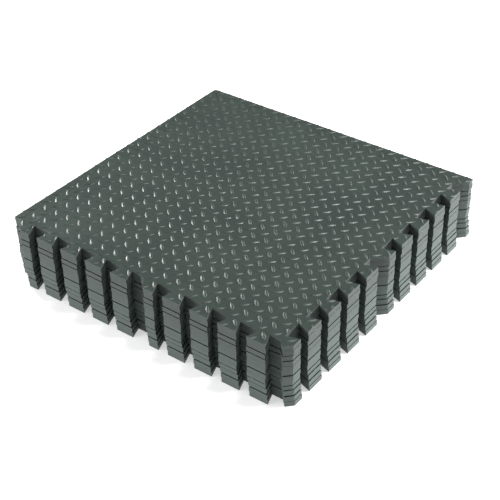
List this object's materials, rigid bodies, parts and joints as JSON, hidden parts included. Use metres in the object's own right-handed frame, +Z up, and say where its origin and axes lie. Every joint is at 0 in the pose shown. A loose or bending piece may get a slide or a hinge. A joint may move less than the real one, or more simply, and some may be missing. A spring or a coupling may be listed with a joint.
{
  "type": "interlocking foam floor mat stack",
  "caption": "Stack of square interlocking anti fatigue foam floor tiles with raised bar tread, dovetail teeth on all sides and straight border strips locked on to two sides.",
  "frame": {"origin": "centre of the overall footprint, on the plane the lowest tile rests on", "axes": "+Z up through the stack, +X towards the open toothed right side, -Y towards the open toothed front side; the border strips are on the -X and +Y sides"},
  "size_m": [0.6544, 0.6504, 0.1325],
  "materials": {
    "tile_foam": "closed-cell foam with a satin skin, a raised bar tread on top and matt cut edges",
    "border_foam": "the same foam and tread as the tiles"
  },
  "bodies": {
    "layer_01": {"tile_01": "tile_foam", "back_border_01": "border_foam", "left_border_01": "border_foam"},
    "layer_02": {"tile_02": "tile_foam", "back_border_02": "border_foam", "left_border_02": "border_foam"},
    "layer_03": {"tile_03": "tile_foam", "back_border_03": "border_foam", "left_border_03": "border_foam"},
    "layer_04": {"tile_04": "tile_foam", "back_border_04": "border_foam", "left_border_04": "border_foam"},
    "layer_05": {"tile_05": "tile_foam", "back_border_05": "border_foam", "left_border_05": "border_foam"},
    "layer_06": {"tile_06": "tile_foam", "back_border_06": "border_foam", "left_border_06": "border_foam"},
    "layer_07": {"tile_07": "tile_foam", "back_border_07": "border_foam", "left_border_07": "border_foam"},
    "layer_08": {"tile_08": "tile_foam", "back_border_08": "border_foam", "left_border_08": "border_foam"},
    "layer_09": {"tile_09": "tile_foam", "back_border_09": "border_foam", "left_border_09": "border_foam"},
    "layer_10": {"tile_10": "tile_foam", "back_border_10": "border_foam", "left_border_10": "border_foam"},
    "layer_11": {"tile_11": "tile_foam", "back_border_11": "border_foam", "left_border_11": "border_foam"},
    "layer_12": {"tile_12": "tile_foam"},
    "back_strip_12": {"back_border_12": "border_foam"},
    "left_strip_12": {"left_border_12": "border_foam"}
  },
  "joints": [
    {"name": "lift_layer_02", "type": "slide", "parent": "layer_01", "child": "layer_02", "axis": [0, 0, 1], "range_m": [0, 0.03]},
    {"name": "lift_layer_03", "type": "slide", "parent": "layer_02", "child": "layer_03", "axis": [0, 0, 1], "range_m": [0, 0.03]},
    {"name": "lift_layer_04", "type": "slide", "parent": "layer_03", "child": "layer_04", "axis": [0, 0, 1], "range_m": [0, 0.03]},
    {"name": "lift_layer_05", "type": "slide", "parent": "layer_04", "child": "layer_05", "axis": [0, 0, 1], "range_m": [0, 0.03]},
    {"name": "lift_layer_06", "type": "slide", "parent": "layer_05", "child": "layer_06", "axis": [0, 0, 1], "range_m": [0, 0.03]},
    {"name": "lift_layer_07", "type": "slide", "parent": "layer_06", "child": "layer_07", "axis": [0, 0, 1], "range_m": [0, 0.03]},
    {"name": "lift_layer_08", "type": "slide", "parent": "layer_07", "child": "layer_08", "axis": [0, 0, 1], "range_m": [0, 0.03]},
    {"name": "lift_layer_09", "type": "slide", "parent": "layer_08", "child": "layer_09", "axis": [0, 0, 1], "range_m": [0, 0.03]},
    {"name": "lift_layer_10", "type": "slide", "parent": "layer_09", "child": "layer_10", "axis": [0, 0, 1], "range_m": [0, 0.03]},
    {"name": "lift_layer_11", "type": "slide", "parent": "layer_10", "child": "layer_11", "axis": [0, 0, 1], "range_m": [0, 0.03]},
    {"name": "lift_layer_12", "type": "slide", "parent": "layer_11", "child": "layer_12", "axis": [0, 0, 1], "range_m": [0, 0.03]},
    {"name": "lift_back_strip", "type": "slide", "parent": "layer_12", "child": "back_strip_12", "axis": [0, 0, 1], "range_m": [0, 0.03]},
    {"name": "lift_left_strip", "type": "slide", "parent": "layer_12", "child": "left_strip_12", "axis": [0, 0, 1], "range_m": [0, 0.03]}
  ]
}
